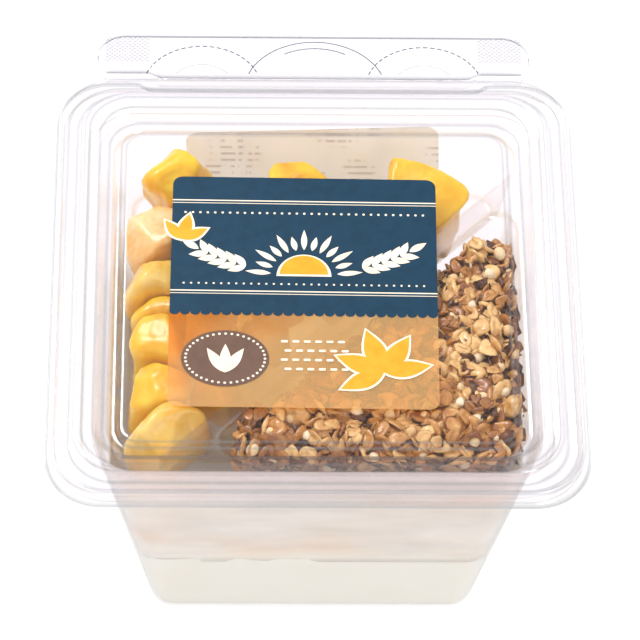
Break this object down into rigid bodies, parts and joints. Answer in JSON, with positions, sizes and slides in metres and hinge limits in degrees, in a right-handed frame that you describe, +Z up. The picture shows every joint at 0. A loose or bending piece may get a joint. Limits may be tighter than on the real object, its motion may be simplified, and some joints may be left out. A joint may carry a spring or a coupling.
{
  "type": "yogurt parfait in a clear pack",
  "caption": "Square clear plastic snap pack with yogurt in the tub, a split tray of fruit chunks and granola above it, a stepped lid, a rear tear strip and labels.",
  "frame": {"origin": "centre of the tub's flat underside, on the surface it stands on", "axes": "+Z up, -Y towards the front of the pack, +Y towards the tear strip along the back, +X to the right"},
  "size_m": [0.1272, 0.1412, 0.0853],
  "materials": {
    "clear_pet": "clear formed PET sheet",
    "yogurt": "satin, moist",
    "granola": "baked, slightly glazed",
    "fruit_deep": "wet, satin",
    "fruit_bright": "wet, satin",
    "fruit_pale": "wet, satin",
    "fruit_peach": "wet, satin",
    "front_label": "printed film, satin",
    "back_label": "printed paper"
  },
  "bodies": {
    "root": {"tub": "clear_pet", "lid": "clear_pet", "insert_tray": "clear_pet", "tear_strip": "clear_pet", "yogurt": "yogurt", "granola": "granola", "fruit_back_left": "fruit_deep", "fruit_back": "fruit_deep", "fruit_mid_1": "fruit_deep", "fruit_mid_5": "fruit_deep", "fruit_mid_6": "fruit_deep", "fruit_mid_8": "fruit_deep", "fruit_back_small": "fruit_bright", "fruit_back_right": "fruit_bright", "fruit_left_3": "fruit_bright", "fruit_left_4": "fruit_bright", "fruit_left_5": "fruit_bright", "fruit_mid_2": "fruit_bright", "fruit_mid_4": "fruit_bright", "fruit_mid_7": "fruit_bright", "fruit_mid_10": "fruit_bright", "fruit_left_2": "fruit_pale", "fruit_front_left": "fruit_pale", "fruit_mid_3": "fruit_pale", "fruit_mid_9": "fruit_pale", "fruit_left_1": "fruit_peach", "front_label": "front_label", "back_label": "back_label"}
  },
  "joints": []
}
